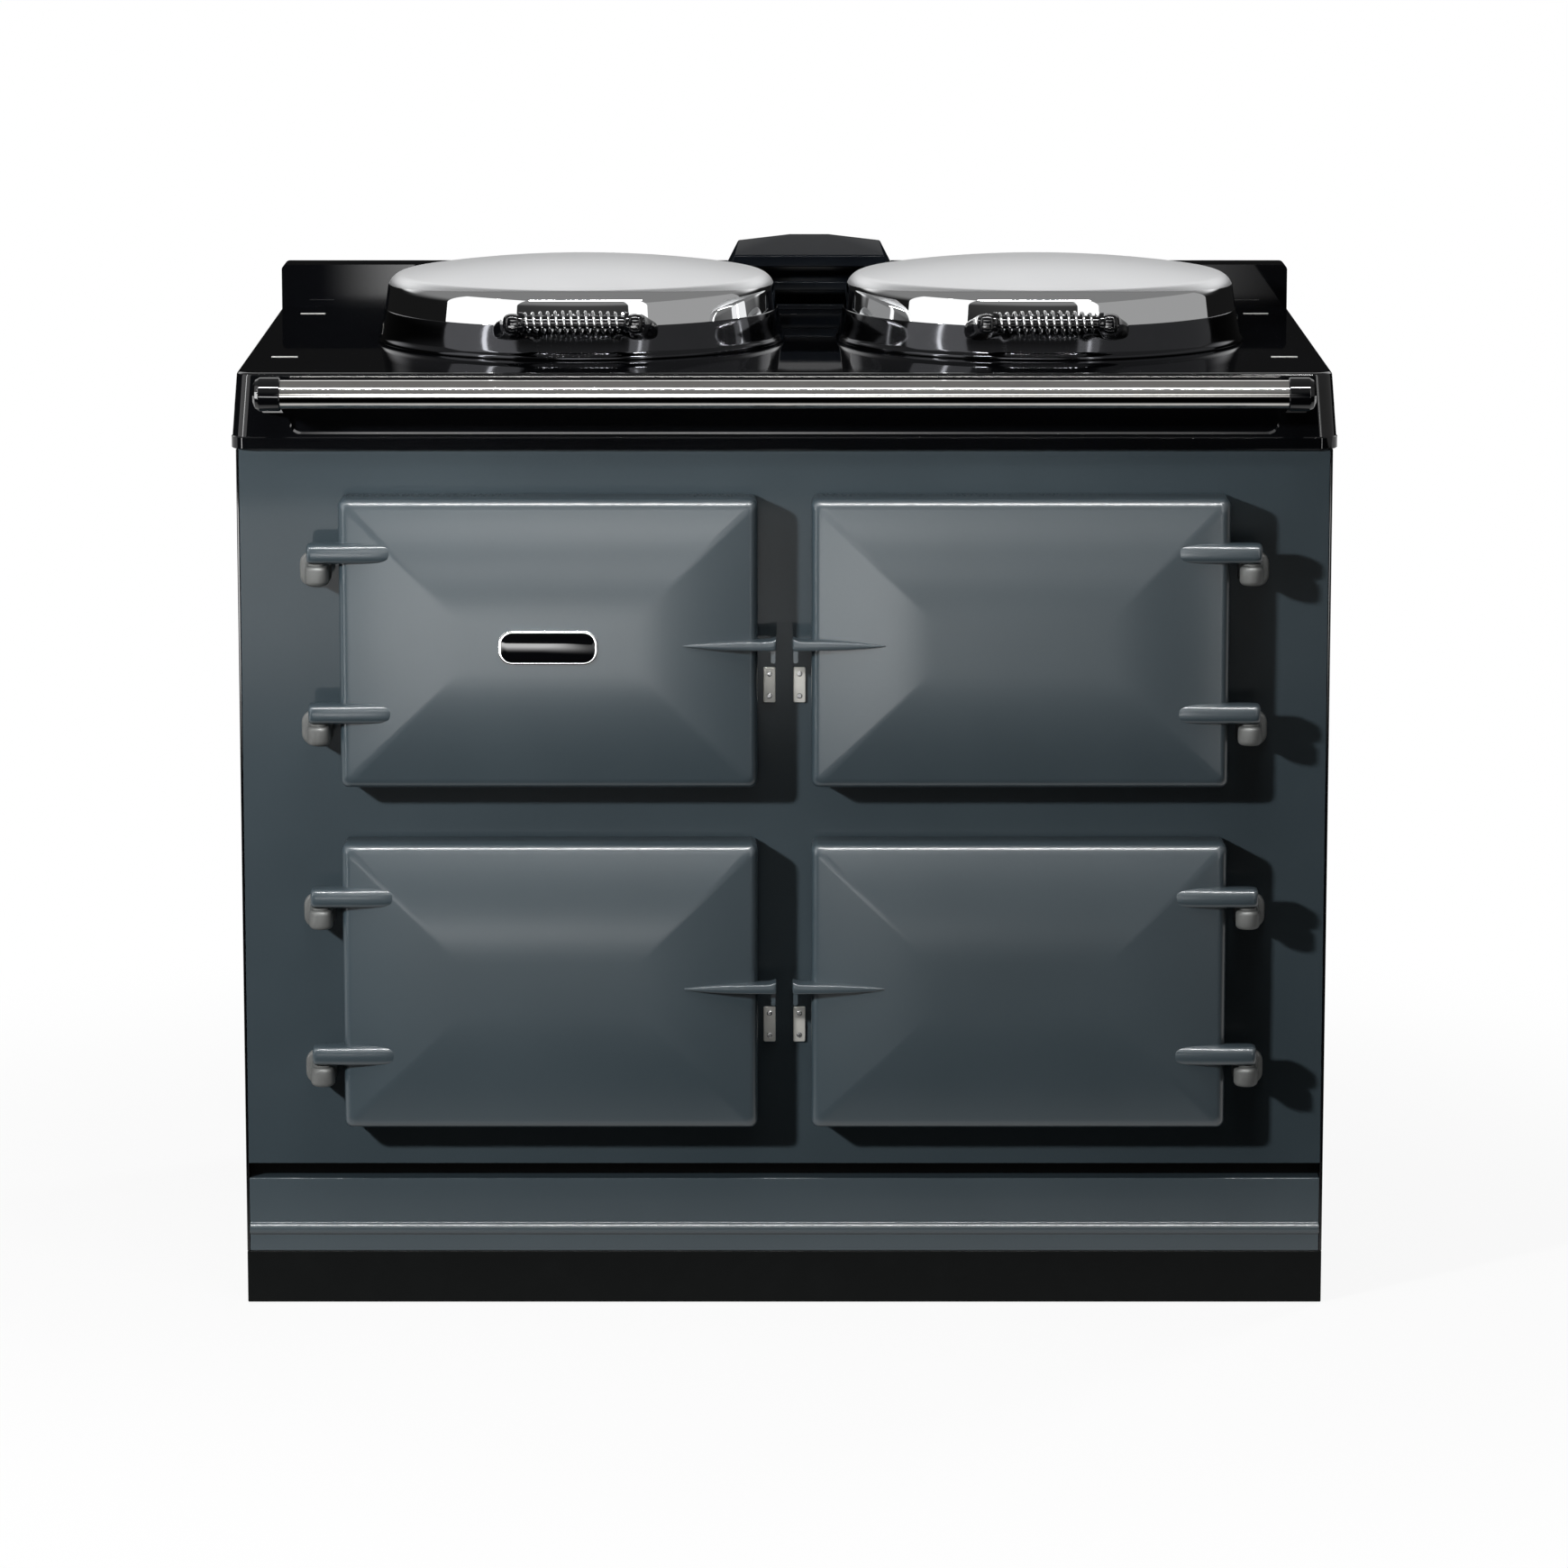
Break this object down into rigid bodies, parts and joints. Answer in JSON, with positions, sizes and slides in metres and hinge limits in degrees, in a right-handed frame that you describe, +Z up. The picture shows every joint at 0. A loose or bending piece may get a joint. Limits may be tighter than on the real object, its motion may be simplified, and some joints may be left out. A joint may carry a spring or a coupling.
{
  "type": "cast iron range cooker",
  "caption": "Cast iron range cooker in slate enamel: pillowed oven doors on lift-off hinges, domed chrome hob lids with coil grips, black top casting, vent cowl and towel rail.",
  "frame": {"origin": "middle of the cooker's footprint on the floor, in the middle of the overall depth with the towel rail", "axes": "+X to the cooker's right as seen from the front, -Y towards the user, +Z up"},
  "size_m": [0.987, 0.679, 0.926],
  "materials": {
    "slate_enamel": "gloss",
    "black_enamel": "gloss",
    "plinth_black": "satin",
    "cast_enamel_slate": "gloss",
    "cast_enamel_black": "gloss",
    "machined_iron": "satin",
    "oven_iron": "matte",
    "polished_rail": "polished",
    "sheet_steel": "satin",
    "bright_chrome": "polished",
    "dark_chrome": "polished",
    "pan_aluminium": "satin",
    "hinge_nickel": "satin",
    "keeper_plate": "satin",
    "rope_seal": "matte",
    "wool_core": "matte",
    "dial_black": "gloss"
  },
  "bodies": {
    "cabinet": {"plinth_frame": "plinth_black", "levelling_feet": "sheet_steel", "base_panel": "plinth_black", "plinth_panel": "slate_enamel", "front_plate": "cast_enamel_slate", "left_side_panel": "black_enamel", "right_side_panel": "black_enamel", "back_panel": "sheet_steel", "top_plate": "cast_enamel_black", "vent_cowl": "cast_enamel_black", "left_hotplate": "machined_iron", "right_hotplate": "machined_iron", "roasting_oven": "oven_iron", "baking_oven": "oven_iron", "simmering_oven": "oven_iron", "roasting_shelf": "bright_chrome", "baking_shelf": "bright_chrome", "simmering_shelf": "bright_chrome", "control_box": "sheet_steel", "control_panel": "sheet_steel", "insulation_core": "wool_core", "towel_rail": "polished_rail", "left_rail_bracket": "black_enamel", "right_rail_bracket": "black_enamel", "door_hinge_brackets": "hinge_nickel", "door_hinge_pins": "bright_chrome", "latch_keepers": "keeper_plate", "lid_hinge_bases": "black_enamel", "lid_hinge_pins": "bright_chrome", "mains_inlet": "sheet_steel"},
    "door_upper_left": {"upper_left_door": "cast_enamel_slate", "upper_left_door_liner": "sheet_steel", "upper_left_door_seal": "rope_seal"},
    "door_upper_right": {"upper_right_door": "cast_enamel_slate", "upper_right_door_liner": "sheet_steel", "upper_right_door_seal": "rope_seal"},
    "door_lower_left": {"lower_left_door": "cast_enamel_slate", "lower_left_door_liner": "sheet_steel", "lower_left_door_seal": "rope_seal"},
    "door_lower_right": {"lower_right_door": "cast_enamel_slate", "lower_right_door_liner": "sheet_steel", "lower_right_door_seal": "rope_seal"},
    "lid_left": {"left_lid_dome": "bright_chrome", "left_lid_ring": "dark_chrome", "left_lid_liner": "pan_aluminium", "left_lid_grip": "dark_chrome", "left_lid_coil": "bright_chrome", "left_lid_hinge_arm": "dark_chrome"},
    "lid_right": {"right_lid_dome": "bright_chrome", "right_lid_ring": "dark_chrome", "right_lid_liner": "pan_aluminium", "right_lid_grip": "dark_chrome", "right_lid_coil": "bright_chrome", "right_lid_hinge_arm": "dark_chrome"},
    "dial_roasting": {"roasting_knob": "dial_black"},
    "dial_baking": {"baking_knob": "dial_black"},
    "dial_simmering": {"simmering_knob": "dial_black"},
    "dial_hotplate": {"hotplate_knob": "dial_black"}
  },
  "joints": [
    {"name": "upper_left_door_hinge", "type": "hinge", "parent": "cabinet", "child": "door_upper_left", "pos_m": [-0.415, -0.308, 0.6135], "axis": [0, 0, -1], "range_deg": [0, 120]},
    {"name": "upper_right_door_hinge", "type": "hinge", "parent": "cabinet", "child": "door_upper_right", "pos_m": [0.415, -0.308, 0.6135], "axis": [0, 0, 1], "range_deg": [0, 120]},
    {"name": "lower_left_door_hinge", "type": "hinge", "parent": "cabinet", "child": "door_lower_left", "pos_m": [-0.415, -0.308, 0.3025], "axis": [0, 0, -1], "range_deg": [0, 120]},
    {"name": "lower_right_door_hinge", "type": "hinge", "parent": "cabinet", "child": "door_lower_right", "pos_m": [0.415, -0.308, 0.3025], "axis": [0, 0, 1], "range_deg": [0, 120]},
    {"name": "left_lid_hinge", "type": "hinge", "parent": "cabinet", "child": "lid_left", "pos_m": [-0.189, 0.231, 0.873], "axis": [-1, 0, 0], "range_deg": [0, 95]},
    {"name": "right_lid_hinge", "type": "hinge", "parent": "cabinet", "child": "lid_right", "pos_m": [0.237, 0.231, 0.873], "axis": [-1, 0, 0], "range_deg": [0, 95]},
    {"name": "roasting_dial_turn", "type": "hinge", "parent": "cabinet", "child": "dial_roasting", "pos_m": [-0.318, -0.242, 0.6135], "axis": [0, 1, 0], "range_deg": [0, 270]},
    {"name": "baking_dial_turn", "type": "hinge", "parent": "cabinet", "child": "dial_baking", "pos_m": [-0.246, -0.242, 0.6135], "axis": [0, 1, 0], "range_deg": [0, 270]},
    {"name": "simmering_dial_turn", "type": "hinge", "parent": "cabinet", "child": "dial_simmering", "pos_m": [-0.174, -0.242, 0.6135], "axis": [0, 1, 0], "range_deg": [0, 270]},
    {"name": "hotplate_dial_turn", "type": "hinge", "parent": "cabinet", "child": "dial_hotplate", "pos_m": [-0.102, -0.242, 0.6135], "axis": [0, 1, 0], "range_deg": [0, 270]}
  ]
}
